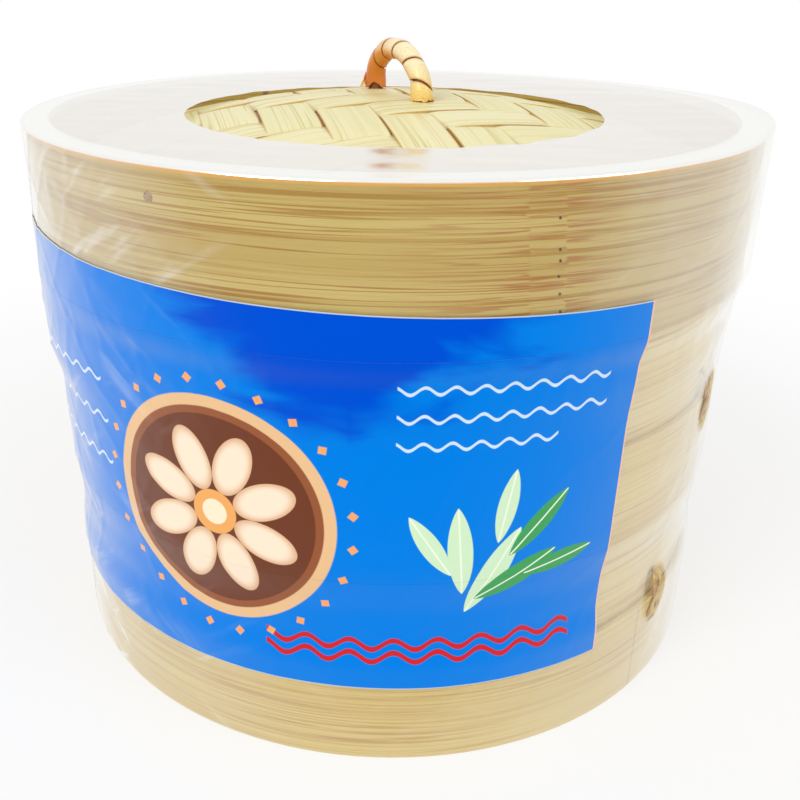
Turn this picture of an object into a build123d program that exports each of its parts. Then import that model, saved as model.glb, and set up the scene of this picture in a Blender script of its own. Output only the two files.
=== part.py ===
from build123d import *
import math
import os

os.makedirs("parts", exist_ok=True)

# A two-tier bamboo steamer with a woven domed lid, its clear shrink film and its paper label.
# Origin: centre of the base ring's underside. +Z is up, the label faces -Y. Millimetres.
# An azimuth is in degrees, counted from -Y towards +X.

# Tiers: two baskets of the same build
wall_radius = 98.0          # outside of a basket's wall hoop
wall_thick = 3.0
wall_height = 56.0          # one basket, and so the step from tier to tier
band_thick = 1.9            # outer hoop at the foot of a wall
band_height = 28.0
skirt_depth = 5.0           # how far a band reaches below its own wall
skirt_clear = 0.8           # between a band's skirt and the wall that it goes over
ledge_thick = 2.9           # inner hoop that carries the floor
ledge_height = 10.0
edge_round = 0.4            # worn edges of hoops, slats and bars
snug = 0.1                  # between curved faces that are fastened together
past = 2.0                  # how far a cut runs on beyond what it cuts

# Floor of a basket
slat_count = 11
slat_gap = 4.0              # steam slots
slat_thick = 2.2
floor_clear = 0.3           # between the slats' ends and the wall
floor_edge = 6.0            # open moon-shaped slot beyond the last slat
bar_offset = 35.0           # crossbars lie each side of the middle
bar_width = 10.0
bar_height = 5.0
bar_clear = 0.1
bar_inset = 0.3             # how far a bar's end stays inside the wall's outer face

# Pegs and cane ties
floor_peg_radius = 1.0
floor_peg_bite = 3.0        # depth of a floor peg in its crossbar
hoop_peg_radius = 1.25
hoop_peg_azimuths = (72.0, 180.0, 288.0)
peg_clear = 0.05
tie_width = 4.5
tie_thick = 0.6
tie_low = 19.5              # tie's foot and head above the band's lower edge
tie_high = 35.5
lower_tie_azimuth = 50.5
upper_tie_azimuth = 60.0
tie_count = 2               # spaced evenly round the hoop
lap_depth = 0.6             # slit where a hoop's outer end lies on its start
lap_width = 0.4
lap_before_tie = 5.0        # degrees from a band's lap slit to its tie

# Lid
lid_clear = 1.2             # between the lid's hoop and the wall that it goes over
lid_hoop_thick = 3.2
lid_height = 34.8           # rim above the upper wall's top
lid_lap = 2.8               # how far the hoop reaches below that top
lid_ring_thick = 3.5        # inner hoops that clamp the woven cover
dome_rise = 16.5            # crest above the clamped edge
dome_proud = 4.1            # crest above the rim
dome_margin = 4.1           # flat clamped edge of the cover, from the inner hoop's outside
cover_thick = 1.6           # woven strips, two layers crossing
lining_thick = 1.0          # inner sheet under the weave
lid_peg_azimuths = (-30.0, 90.0, 210.0)
lid_peg_drop = 6.8          # upper pegs below the rim
lid_peg_rise = 5.0          # lower pegs above the wall's top
lid_lap_azimuth = 150.0

# Handle: a bent cane wrapped with one flat strip
handle_x = 1.4
handle_y = 2.3
handle_turn = -64.3         # direction of the feet, from +X towards +Y
handle_span = 31.0          # between the two feet's centre lines
handle_height = 11.8        # arch's centre line above the weave
arch_bends = (8.0, 13.0, 13.0, 10.0)    # radii of the arch's four bends
cane_radius = 2.2
cane_clear = 0.3            # hole in the weave round each foot
tail_reach = 12.0           # ends bent outwards under the lid
tail_bend = 3.6
tail_drop = 2.0             # slack between the lining and the tails
strip_thick = 0.5
strip_clear = 0.15          # between the strip's flats and the cane
strip_turns = 6
strip_gap = 0.65            # dark gap between turns, on the arch's centre line
strip_lift = 0.7            # strip's ends above the weave
strip_steps = 16            # flats in one turn of the strip
strip_facets = 3            # flats across its width

# Shrink film and paper label
film_thick = 0.3
film_slack = 0.15           # between the film and the cane ties
film_lid_gap = 0.3          # between the film and the lid's hoop
film_foot = 0.4             # film's cut edge above the base
film_split = 0.25           # half of the cut between the film's pieces
hole_radius = 57.3          # round opening that the film leaves over the weave
hole_x = 1.0
hole_y = -11.1
label_thick = 0.25
label_gap = 0.15            # between the label and the film under it
label_left_azimuth = -85.0  # the label's two side edges
label_right_azimuth = 35.0
label_bottom = 23.8
label_drop = 27.8           # label's upper edge below the rim

# Sizes that follow
wall_inner = wall_radius - wall_thick
band_inner = wall_radius + snug
band_radius = band_inner + band_thick
skirt_inner = wall_radius + skirt_clear
ledge_radius = wall_inner - snug
ledge_inner = ledge_radius - ledge_thick
floor_radius = wall_inner - floor_clear
slat_pitch = (2 * (floor_radius - floor_edge) + slat_gap) / slat_count
slat_width = slat_pitch - slat_gap
tie_radius = band_radius + snug + tie_thick
tier_joint = wall_height    # lower edge of the upper tier's band
walls_top = skirt_depth + tier_joint + wall_height
rim = walls_top + lid_height
lid_foot = walls_top - lid_lap
lid_inner = wall_radius + lid_clear
lid_radius = lid_inner + lid_hoop_thick
ring_radius = lid_inner - snug
ring_inner = ring_radius - lid_ring_thick
crest = rim + dome_proud
cover_edge = crest - dome_rise
dome_radius = ring_radius - dome_margin
sphere_radius = (dome_radius ** 2 + dome_rise ** 2) / (2 * dome_rise)
sphere_z = crest - sphere_radius
half_span = handle_span / 2
foot_z = sphere_z + math.sqrt(sphere_radius ** 2 - half_span ** 2)
film_tier_inner = tie_radius + film_slack
film_tier_outer = film_tier_inner + film_thick
film_lid_inner = lid_radius + film_lid_gap
film_lid_outer = film_lid_inner + film_thick
film_top = rim + film_lid_gap
label_top = rim - label_drop

BASE = (Align.CENTER, Align.CENTER, Align.MIN)


def save(shapes, node):
    """Write one named sub-part, which is one solid or a group of like solids."""
    solids = [solid for shape in shapes for solid in shape.solids()]
    part = solids[0] if len(solids) == 1 else Compound(children=solids)
    part.label = node
    export_step(part, f"parts/{node}.step")


def block(low, high):
    """A box between two corners."""
    size = [b - a for a, b in zip(low, high)]
    return Pos(*low) * Box(*size, align=(Align.MIN, Align.MIN, Align.MIN))


def ring(outer, inner, bottom, top):
    """A plain upright ring."""
    height = top - bottom
    return Pos(0, 0, bottom) * (Cylinder(outer, height, align=BASE) - Cylinder(inner, height, align=BASE))


def hoop(outer, inner, bottom, top):
    """A bent bamboo hoop: a ring with worn edges."""
    plain = ring(outer, inner, bottom, top)
    return fillet(plain.edges().filter_by(GeomType.CIRCLE), edge_round)


def spoke(radius, inner, outer, height, azimuth):
    """A round peg or hole that points outwards from the steamer's axis."""
    peg = Rot(90, 0, 0) * Cylinder(radius, outer - inner, align=BASE)
    return Rot(0, 0, azimuth) * Pos(0, -inner, height) * peg


def plate(inner, outer, width, bottom, top, azimuth):
    """A block that stands radially at an azimuth."""
    return Rot(0, 0, azimuth) * block((-width / 2, -outer, bottom), (width / 2, -inner, top))


def lap_slit(outer, bottom, top, azimuth):
    """The slit that shows where a hoop overlaps itself."""
    return plate(outer - lap_depth, outer + past, lap_width, bottom, top, azimuth)


def label_sheet(inner, bottom, top):
    """One cut of the label, from its left edge round to its right edge."""
    middle = Pos(inner + label_thick / 2, (bottom + top) / 2)
    section = Plane.XZ * middle * Rectangle(label_thick, top - bottom)
    arc = label_right_azimuth - label_left_azimuth
    return Rot(0, 0, label_left_azimuth - 90) * revolve(section, Axis.Z, revolution_arc=arc)


def tie_azimuths(first):
    return [first + 360 / tie_count * i for i in range(tie_count)]


def tie_leg(inner, outer, level, azimuth, clear):
    """One leg of a cane tie, or with a clearance its hole."""
    return plate(inner, outer, tie_width + 2 * clear, level - clear, level + tie_thick + clear, azimuth)


def tie_holes(base, azimuth):
    low = tie_leg(ledge_inner, tie_radius, base + tie_low, azimuth, snug)
    high = tie_leg(ledge_inner, tie_radius, base + tie_high - tie_thick, azimuth, snug)
    return [low, high]


def cane_tie(base, azimuth):
    """A flat cane loop that binds a band's upper edge to its wall."""
    low = base + tie_low
    high = base + tie_high
    back = wall_inner - snug - tie_thick
    loop = plate(back, tie_radius, tie_width, low, high, azimuth)
    front = tie_radius - tie_thick
    eye = plate(back + tie_thick, front, tie_width + past, low + tie_thick, high - tie_thick, azimuth)
    return loop - eye


def bar_cut(base, side, above):
    """The slot or notch that one crossbar passes through, cut up to a height above its top."""
    half = bar_width / 2 + bar_clear
    centre = side * bar_offset
    level = floor_level(base)
    low = (centre - half, -wall_radius - past, level - bar_height - bar_clear)
    high = (centre + half, wall_radius + past, level + above)
    return block(low, high)


def floor_level(base):
    """Where the slats lie: on the ledge and on the crossbars in its notches."""
    return base + skirt_depth + ledge_height


def hoop_peg_level(base):
    return base + skirt_depth + ledge_height / 4


def wall_hoop(base, azimuth):
    bottom = base + skirt_depth
    wall = hoop(wall_radius, wall_inner, bottom, bottom + wall_height)
    slots = [bar_cut(base, side, bar_clear) for side in (-1, 1)]
    for turn in tie_azimuths(azimuth):
        slots += tie_holes(base, turn)
    slots += [peg_hole(base, turn) for turn in hoop_peg_azimuths]
    return wall - slots


def peg_hole(base, azimuth):
    radius = hoop_peg_radius + peg_clear
    return spoke(radius, ledge_inner - past, band_radius + past, hoop_peg_level(base), azimuth)


def band(base, azimuth):
    """Outer hoop, shaved thinner inside its skirt where it slips over the tier or pot below."""
    outer = hoop(band_radius, band_inner, base, base + band_height)
    skirt_cut = Pos(0, 0, base - past) * Cylinder(skirt_inner, skirt_depth + past, align=BASE)
    holes = [peg_hole(base, turn) for turn in hoop_peg_azimuths]
    for turn in tie_azimuths(azimuth):
        holes += tie_holes(base, turn)
    slit = lap_slit(band_radius, base, base + band_height, azimuth - lap_before_tie)
    return outer - [skirt_cut, slit] - holes


def ledge(base):
    """Inner hoop under the floor, notched for the crossbars."""
    bottom = base + skirt_depth
    plain = ring(ledge_radius, ledge_inner, bottom, bottom + ledge_height)
    cuts = [bar_cut(base, side, ledge_height) for side in (-1, 1)]
    cuts += [peg_hole(base, turn) for turn in hoop_peg_azimuths]
    return plain - cuts


def slat_places():
    return [(i - (slat_count - 1) / 2) * slat_pitch for i in range(slat_count)]


def floor_peg(base, side, y, clear):
    """One small peg through a slat into a crossbar, or with a clearance its hole."""
    height = slat_thick + floor_peg_bite + clear
    foot = floor_level(base) - floor_peg_bite - clear
    return Pos(side * bar_offset, y, foot) * Cylinder(floor_peg_radius + clear, height, align=BASE)


def slat(base, y):
    level = floor_level(base)
    low = (-wall_radius, y - slat_width / 2, level)
    high = (wall_radius, y + slat_width / 2, level + slat_thick)
    board = block(low, high)
    top_edges = board.edges().filter_by(Axis.X).sort_by(Axis.Z)[-2:]
    board = fillet(top_edges, edge_round)
    disc = Pos(0, 0, level) * Cylinder(floor_radius, slat_thick, align=BASE)
    holes = [floor_peg(base, side, y, peg_clear) for side in (-1, 1)]
    return (board & disc) - holes


def crossbar(base, side):
    """A batten under the slats whose ends pass through the wall and stop behind the band."""
    level = floor_level(base)
    disc = Pos(0, 0, level - bar_height) * Cylinder(wall_radius - bar_inset, bar_height, align=BASE)
    centre = side * bar_offset
    low = (centre - bar_width / 2, -wall_radius, level - bar_height)
    high = (centre + bar_width / 2, wall_radius, level)
    batten = fillet(block(low, high).edges().filter_by(Axis.Y), edge_round)
    holes = [floor_peg(base, side, y, peg_clear) for y in slat_places()]
    return (batten & disc) - holes


def make_tier(name, base, azimuth):
    save([wall_hoop(base, azimuth)], f"{name}_wall_hoop")
    save([band(base, azimuth)], f"{name}_band")
    save([ledge(base)], f"{name}_ledge_hoop")
    for i, y in enumerate(slat_places()):
        save([slat(base, y)], f"{name}_slat_{i + 1:02d}")
    for side, word in ((-1, "left"), (1, "right")):
        save([crossbar(base, side)], f"{name}_crossbar_{word}")
    floor_pegs = [floor_peg(base, side, y, 0) for side in (-1, 1) for y in slat_places()]
    save(floor_pegs, f"{name}_floor_pegs")
    level = hoop_peg_level(base)
    hoop_pegs = [spoke(hoop_peg_radius, ledge_inner, band_radius, level, turn) for turn in hoop_peg_azimuths]
    save(hoop_pegs, f"{name}_hoop_pegs")
    save([cane_tie(base, turn) for turn in tie_azimuths(azimuth)], f"{name}_cane_ties")


def lid_spokes(radius, inner, outer):
    """Two rows of pegs through the lid's hoops, or with a clearance their holes."""
    levels = (rim - lid_peg_drop, walls_top + lid_peg_rise)
    return [spoke(radius, inner, outer, level, turn) for level in levels for turn in lid_peg_azimuths]


def lid_peg_holes():
    return lid_spokes(hoop_peg_radius + peg_clear, ring_inner - past, lid_radius + past)


def lid_outer_hoop():
    plain = hoop(lid_radius, lid_inner, lid_foot, rim)
    return plain - [lap_slit(lid_radius, lid_foot, rim, lid_lap_azimuth)] - lid_peg_holes()


def lid_ring(bottom, top):
    return hoop(ring_radius, ring_inner, bottom, top) - lid_peg_holes()


def dome_sheet(outer_sphere, thick, edge):
    """A domed sheet with a flat edge that the lid's inner hoops clamp."""
    inner_sphere = outer_sphere - thick
    outer_foot = math.sqrt(outer_sphere ** 2 - (edge - sphere_z) ** 2)
    inner_foot = math.sqrt(inner_sphere ** 2 - (edge - thick - sphere_z) ** 2)
    middle = math.sin(math.asin(outer_foot / outer_sphere) / 2)
    middle_rise = math.sqrt(1 - middle ** 2)
    top_arc = ThreePointArc(
        (0, sphere_z + outer_sphere),
        (outer_sphere * middle, sphere_z + outer_sphere * middle_rise),
        (outer_foot, edge),
    )
    flange = Polyline(
        (outer_foot, edge), (ring_radius, edge), (ring_radius, edge - thick), (inner_foot, edge - thick)
    )
    under_arc = ThreePointArc(
        (inner_foot, edge - thick),
        (inner_sphere * middle, sphere_z + inner_sphere * middle_rise),
        (0, sphere_z + inner_sphere),
    )
    axis_line = Line((0, sphere_z + inner_sphere), (0, sphere_z + outer_sphere))
    section = Plane.XZ * make_face([top_arc, flange, under_arc, axis_line])
    return revolve(section, Axis.Z) - foot_holes()


def handle_place():
    return Pos(handle_x, handle_y, foot_z) * Rot(0, 0, handle_turn)


def foot_holes():
    depth = 4 * (cover_thick + lining_thick)
    hole = Cylinder(cane_radius + cane_clear, depth)
    return [handle_place() * Pos(side * half_span, 0, 0) * hole for side in (-1, 1)]


def arch_corners():
    """Corners of the arch in its own plane, which leans a little to the front foot."""
    return [
        (-half_span, 0.64 * handle_height),
        (-0.38 * half_span, 1.05 * handle_height),
        (0.28 * half_span, 1.03 * handle_height),
        (half_span, 0.50 * handle_height),
    ]


def arch_radii():
    """Radius of each bend, no larger than the straight runs beside it leave room for."""
    feet = [Vector(side * half_span, strip_lift) for side in (-1, 1)]
    points = [feet[0]] + [Vector(*corner) for corner in arch_corners()] + [feet[1]]
    radii = []
    for before, corner, after, wanted in zip(points, points[1:], points[2:], arch_bends):
        turn = math.radians((corner - before).get_angle(after - corner))
        into = (corner - before).length / (1 if before in feet else 2)
        out = (after - corner).length / (1 if after in feet else 2)
        radii.append(min(wanted, 0.98 * min(into, out) / math.tan(turn / 2)))
    return radii


def cane_path():
    """Centre line of the cane: out from under the lid, over the arch and back under."""
    under = -(cover_thick + snug + lining_thick + tail_drop + cane_radius)
    tail = half_span + tail_reach
    corners = [(-tail, under), (-half_span, under)] + arch_corners() + [(half_span, under), (tail, under)]
    radii = [tail_bend] + arch_radii() + [tail_bend]
    return Plane.XZ * FilletPolyline(*corners, radius=radii)


def arch_path():
    """The stretch of the same centre line that the strip covers."""
    corners = [(-half_span, strip_lift)] + arch_corners() + [(half_span, strip_lift)]
    return Plane.XZ * FilletPolyline(*corners, radius=arch_radii())


def handle_cane():
    path = cane_path()
    start = Plane(origin=path @ 0, z_dir=path % 0)
    return handle_place() * sweep(start * Circle(cane_radius), path=path)


def strip_corners(path, middle, turn, width, inner, outer):
    """Corners of the strip's section at one angle round the cane: inner face, then outer face."""
    side = Vector(0, 1, 0)
    spread = [i / strip_facets - 0.5 for i in range(strip_facets + 1)]
    corners = []
    for share, radius in [(x, inner) for x in spread] + [(x, outer) for x in reversed(spread)]:
        place = (middle + share * width) / path.length
        outwards = (path % place).cross(side)
        arm = outwards * math.cos(turn) + side * math.sin(turn)
        corners.append(path @ place + arm * radius)
    return corners


def least_gap(sections):
    """Least distance between one turn's far edge and the next turn's near edge."""
    far = strip_facets
    pairs = zip(sections, sections[strip_steps:])
    return min(min((a[far] - b[0]).length, (a[far + 1] - b[-1]).length) for a, b in pairs)


def handle_strip():
    """One flat strip wound round the cane from foot to foot."""
    path = arch_path()
    pitch = (path.length + strip_gap) / (strip_turns + 1)
    width = pitch - strip_gap
    inner = cane_radius + strip_clear
    sections = []
    for i in range(strip_turns * strip_steps + 1):
        middle = width / 2 + i * pitch / strip_steps
        turn = 2 * math.pi * i / strip_steps
        sections.append(strip_corners(path, middle, turn, width, inner, inner + strip_thick))
    print(f"handle strip: pitch {pitch:.2f}, width {width:.2f}, least gap {least_gap(sections):.2f} mm")
    wires = [Wire.make_polygon(corners, close=True) for corners in sections]
    return handle_place() * Solid.make_loft(wires, ruled=True)


def make_lid():
    save([lid_outer_hoop()], "lid_outer_hoop")
    save([lid_ring(cover_edge, rim)], "lid_upper_ring")
    save([lid_ring(walls_top, cover_edge - cover_thick - lining_thick)], "lid_lower_ring")
    save([dome_sheet(sphere_radius, cover_thick, cover_edge)], "lid_woven_cover")
    lining_sphere = sphere_radius - cover_thick - snug
    save([dome_sheet(lining_sphere, lining_thick, cover_edge - cover_thick)], "lid_lining")
    save(lid_spokes(hoop_peg_radius, ring_inner, lid_radius), "lid_hoop_pegs")
    save([handle_cane()], "handle_cane")
    save([handle_strip()], "handle_strip")


def make_film():
    """A sleeve cut where the tiers and the lid part, and folded over the lid round an opening."""
    hole = Pos(hole_x, hole_y, film_top) * Cylinder(hole_radius, film_thick, align=BASE)
    disc = Pos(0, 0, film_top) * Cylinder(film_lid_outer, film_thick, align=BASE)
    save([disc - hole], "film_lid_top")
    save([ring(film_lid_outer, film_lid_inner, lid_foot + film_split, film_top)], "film_lid_side")
    bounds = {
        "upper": (tier_joint + film_split, lid_foot - film_split),
        "lower": (film_foot, tier_joint - film_split),
    }
    for name, (bottom, top) in bounds.items():
        save([ring(film_tier_outer, film_tier_inner, bottom, top)], f"film_{name}")


def make_label():
    """A paper label on the film, cut at the same two places."""
    lid_skin = film_lid_outer + label_gap
    tier_skin = film_tier_outer + label_gap
    bounds = {
        "lid": (lid_skin, lid_foot + film_split, label_top),
        "upper": (tier_skin, tier_joint + film_split, lid_foot - film_split),
        "lower": (tier_skin, label_bottom, tier_joint - film_split),
    }
    for name, (inner, bottom, top) in bounds.items():
        save([label_sheet(inner, bottom, top)], f"label_{name}")


make_tier("lower", 0.0, lower_tie_azimuth)
make_tier("upper", tier_joint, upper_tie_azimuth)
make_lid()
make_film()
make_label()
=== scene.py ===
# %% [markdown]
# A two-tier bamboo steamer stands on a pale floor, still in its clear shrink film.
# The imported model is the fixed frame: every hoop, slat and peg comes from it at its real size.
# This lesson gives those nodes their bamboo, and models by hand what a machine shape cannot
# show: the woven lid, the wrapped handle, the cane ties, the film and the printed label.

# %% Load the frame
import bpy, math, random
from functools import partialmethod
from mathutils import Matrix, Vector, noise


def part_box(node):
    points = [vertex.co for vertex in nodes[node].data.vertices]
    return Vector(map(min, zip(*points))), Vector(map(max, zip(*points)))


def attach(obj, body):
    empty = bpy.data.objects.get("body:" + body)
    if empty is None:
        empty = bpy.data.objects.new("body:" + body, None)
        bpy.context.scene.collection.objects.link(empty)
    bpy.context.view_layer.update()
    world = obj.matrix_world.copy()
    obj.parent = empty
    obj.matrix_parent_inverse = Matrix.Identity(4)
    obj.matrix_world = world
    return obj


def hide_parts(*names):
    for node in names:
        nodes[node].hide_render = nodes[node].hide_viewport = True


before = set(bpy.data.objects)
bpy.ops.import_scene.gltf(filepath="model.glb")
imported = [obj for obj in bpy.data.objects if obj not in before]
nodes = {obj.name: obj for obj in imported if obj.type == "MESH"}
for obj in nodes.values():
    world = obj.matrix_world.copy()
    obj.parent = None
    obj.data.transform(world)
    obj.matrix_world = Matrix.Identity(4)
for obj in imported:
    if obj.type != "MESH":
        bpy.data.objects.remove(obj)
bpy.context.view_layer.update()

# %% [markdown]
# Everything is measured in metres from the middle of the base ring, and most places on a
# round basket are easiest to give as an azimuth: degrees from the front, towards the right.
# The few driving sizes below are read from the frame, so that the dressing follows the model.

# %% Sizes from the frame
MM = 0.001


def node_top(name):
    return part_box(name)[1][2]


def node_foot(name):
    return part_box(name)[0][2]


def node_radius(name):
    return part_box(name)[1][1]


rim_z = node_top("lid_outer_hoop")
lid_foot_z = node_foot("lid_outer_hoop")
lid_radius = node_radius("lid_outer_hoop")
band_radius = node_radius("lower_band")
film_radius = node_radius("film_lid_side")
joint_z = node_foot("upper_band")
crest_z = node_top("lid_woven_cover")
cover_radius = node_radius("lid_woven_cover")
print("rim", round(rim_z, 4), "lid radius", round(lid_radius, 4), "crest", round(crest_z, 4))


def polar(azimuth, radius, z):
    """A point at an azimuth in degrees, from the front towards the right."""
    turn = math.radians(azimuth)
    return Vector((math.sin(turn) * radius, -math.cos(turn) * radius, z))


# %% [markdown]
# The camera comes next, because every later choice is judged through it. The photograph was
# taken from close by, a little above the lid, with the lens's axis left of the picture's
# middle: a small sideways shift gives that. Its place and turns were fitted to the outline
# of the lid's rim and of the base.

# %% Camera
photo_size = 800.0
focal_pixels = 940.0
axis_pixel_x = 370.0
camera_back = 0.2850
camera_high = 0.1903
camera_yaw = math.radians(-1.15)
camera_pitch = math.radians(24.97)
camera_roll = math.radians(0.61)

sight = Vector((
    math.sin(camera_yaw) * math.cos(camera_pitch),
    math.cos(camera_yaw) * math.cos(camera_pitch),
    -math.sin(camera_pitch),
))
level = Vector((math.cos(camera_yaw), -math.sin(camera_yaw), 0.0))
upward = level.cross(sight)
right = math.cos(camera_roll) * level + math.sin(camera_roll) * upward
up = -math.sin(camera_roll) * level + math.cos(camera_roll) * upward

camera_data = bpy.data.cameras.new("camera")
camera = bpy.data.objects.new("camera", camera_data)
bpy.context.scene.collection.objects.link(camera)
camera_data.sensor_width = 36.0
camera_data.lens = focal_pixels / photo_size * camera_data.sensor_width
camera_data.shift_x = (photo_size / 2 - axis_pixel_x) / photo_size
camera_data.clip_start = 0.01
turn = Matrix((right, up, -sight)).transposed().to_4x4()
camera.matrix_world = Matrix.Translation((0.0, -camera_back, camera_high)) @ turn
bpy.context.scene.camera = camera
bpy.context.scene.view_settings.view_transform = "Standard"
print("lens", round(camera_data.lens, 1), "mm, shift", round(camera_data.shift_x, 4))

# %% [markdown]
# Modelling tools act on whatever is selected, and the loaded nodes start selected. These
# helpers begin from nothing selected, and leave each finished piece unturned at the origin
# with its place in its mesh, as the frame's own nodes are.


# %% Modelling helpers
def select_only(*objects):
    if bpy.context.mode != "OBJECT":
        bpy.ops.object.mode_set(mode="OBJECT")
    bpy.ops.object.select_all(action="DESELECT")
    for item in objects:
        item.select_set(True)
    bpy.context.view_layer.objects.active = objects[-1]


def name_new(name):
    """Name the primitive that was just added, and keep its place in its mesh."""
    piece = bpy.context.active_object
    piece.name = name
    piece.data.name = name
    select_only(piece)
    bpy.ops.object.transform_apply(location=True, rotation=True, scale=True)
    return piece


def add_grid(name, across, along):
    """A flat unit sheet with the given number of squares, ready to be bent."""
    bpy.ops.object.select_all(action="DESELECT")
    bpy.ops.mesh.primitive_grid_add(x_subdivisions=across, y_subdivisions=along, size=1.0)
    return name_new(name)


def bend(piece, place):
    """Move each vertex of a unit sheet to place(u, v), with u and v from 0 to 1."""
    for vertex in piece.data.vertices:
        vertex.co = place(vertex.co.x + 0.5, vertex.co.y + 0.5)
    piece.data.update()


def use_modifier(piece, kind, **settings):
    select_only(piece)
    modifier = piece.modifiers.new(kind.title(), kind)
    for key, value in settings.items():
        setattr(modifier, key, value)
    bpy.ops.object.modifier_apply(modifier=modifier.name)


def merge_and_face_out(piece, distance=1e-6):
    select_only(piece)
    bpy.ops.object.mode_set(mode="EDIT")
    bpy.ops.mesh.select_all(action="SELECT")
    bpy.ops.mesh.remove_doubles(threshold=distance)
    bpy.ops.mesh.normals_make_consistent(inside=False)
    bpy.ops.object.mode_set(mode="OBJECT")


def join(name, pieces):
    select_only(*pieces)
    bpy.ops.object.join()
    whole = bpy.context.active_object
    whole.name = name
    whole.data.name = name
    return whole


def smooth(piece, angle=40.0):
    select_only(piece)
    bpy.ops.object.shade_smooth_by_angle(angle=math.radians(angle))


def use_material(piece, material):
    piece.data.materials.clear()
    piece.data.materials.append(material)


def dress(piece, body, slot, material, *replaced):
    """Give a finished piece its material, the body it rides on and the nodes it stands for."""
    use_material(piece, material)
    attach(piece, body)
    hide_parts(*replaced)


print("modelling helpers ready")


# %% [markdown]
# Node trees are easier to read when one short line adds a node and wires its inputs. The
# helper takes plain values and sockets alike, and has a short word for each kind of sum, so
# the materials below read like formulas. A share is one value divided by another.


# %% Node helpers
class Tree:
    """Adds nodes to one material or node group."""

    def __init__(self, tree):
        self.tree = tree

    def add(self, kind, values=(), **settings):
        node = self.tree.nodes.new(kind)
        for key, value in settings.items():
            setattr(node, key, value)
        for key, value in dict(values).items():
            self.put(node.inputs[key], value)
        return node

    def put(self, socket, value):
        if isinstance(value, bpy.types.NodeSocket):
            self.tree.links.new(value, socket)
        else:
            socket.default_value = value

    def give(self, result, **values):
        """Hand a group's results out through its named sockets."""
        for key, value in values.items():
            self.put(result.inputs[key], value)

    def math(self, operation, *values, clamp=False):
        node = self.add("ShaderNodeMath", enumerate(values), operation=operation, use_clamp=clamp)
        return node.outputs[0]

    plus = partialmethod(math, "ADD")
    minus = partialmethod(math, "SUBTRACT")
    times = partialmethod(math, "MULTIPLY")
    share = partialmethod(math, "DIVIDE")
    power = partialmethod(math, "POWER")
    most = partialmethod(math, "MAXIMUM")
    least = partialmethod(math, "MINIMUM")
    size = partialmethod(math, "ABSOLUTE")

    def ramp(self, value, low, high):
        """0 below low, 1 above high, and smooth between."""
        values = {"Value": value, "From Min": low, "From Max": high}
        node = self.add("ShaderNodeMapRange", values, interpolation_type="SMOOTHSTEP", clamp=True)
        return node.outputs["Result"]

    def mix(self, share, first, second):
        node = self.add("ShaderNodeMix", {0: share, 6: first, 7: second}, data_type="RGBA")
        return node.outputs[2]

    def noise(self, vector, scale=1.0, detail=2.0, roughness=0.5, distortion=0.0):
        values = {
            "Vector": vector, "Scale": scale, "Detail": detail,
            "Roughness": roughness, "Distortion": distortion,
        }
        return self.add("ShaderNodeTexNoise", values).outputs["Fac"]

    def stretch(self, vector, x, y, z):
        return self.add("ShaderNodeMapping", {"Vector": vector, "Scale": (x, y, z)}).outputs[0]

    def split(self, vector):
        return self.add("ShaderNodeSeparateXYZ", {0: vector}).outputs

    def join(self, x, y, z):
        return self.add("ShaderNodeCombineXYZ", {0: x, 1: y, 2: z}).outputs[0]

    def length(self, vector):
        return self.add("ShaderNodeVectorMath", {0: vector}, operation="LENGTH").outputs["Value"]

    def place(self):
        return self.add("ShaderNodeTexCoord").outputs["Object"]

    def facing(self):
        return self.add("ShaderNodeLayerWeight", {"Blend": 0.5}).outputs["Facing"]

    def relief(self, surface, height, strength, depth):
        """Light and shade of marks that are too fine to model."""
        values = {"Height": height, "Strength": strength, "Distance": depth}
        self.put(surface.inputs["Normal"], self.add("ShaderNodeBump", values).outputs[0])

    def group(self, group, **values):
        node = self.add("ShaderNodeGroup")
        node.node_tree = group
        for key, value in values.items():
            self.put(node.inputs[key], value)
        return node.outputs


socket_kinds = dict.fromkeys(("Pale", "Gold", "Brown", "Color"), "Color") | {"Vector": "Vector"}


def new_group(name, inputs, outputs):
    """A group whose sockets are numbers, but for the kinds listed above."""
    group = bpy.data.node_groups.new(name, "ShaderNodeTree")
    for in_out, sockets in (("INPUT", inputs), ("OUTPUT", outputs)):
        for socket in sockets.split():
            kind = "NodeSocket" + socket_kinds.get(socket, "Float")
            group.interface.new_socket(socket, in_out=in_out, socket_type=kind)
    tree = Tree(group)
    return group, tree, tree.add("NodeGroupInput").outputs, tree.add("NodeGroupOutput")


def new_material(name, roughness=0.5, **settings):
    material = bpy.data.materials.new(name)
    material.use_nodes = True
    surface = material.node_tree.nodes["Principled BSDF"]
    surface.inputs["Roughness"].default_value = roughness
    for key, value in settings.items():
        surface.inputs[key.replace("_", " ")].default_value = value
    return material, Tree(material.node_tree), surface


def paint(tree, surface, color):
    tree.put(surface.inputs["Base Color"], color)


def linear(red, green, blue):
    """A colour as it looks on screen, 0 to 255, as the linear value that shaders use."""
    parts = [c / 255 for c in (red, green, blue)]
    return [c / 12.92 if c <= 0.04045 else ((c + 0.055) / 1.055) ** 2.4 for c in parts] + [1.0]


print("node helpers ready")

# %% [markdown]
# A bamboo hoop is one long strip bent into a ring, so its fibres run round it. A pattern that
# follows them needs round coordinates: the way along the ring, the height, and the depth.
# This group works them out from Object coordinates. Hoops, ties, film and label share it.

# %% Round coordinates
ring_radius = 0.1
around_group, t, given, result = new_group("round_coordinates", "Vector", "Vector Degrees")
x, y, z = t.split(given[0])
radians = t.math("ARCTAN2", x, t.times(y, -1.0))
depth = t.length(t.join(x, y, 0.0))
around = t.join(t.times(radians, ring_radius), z, depth)
t.give(result, Vector=around, Degrees=t.math("DEGREES", radians))
print("round coordinates made")

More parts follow.
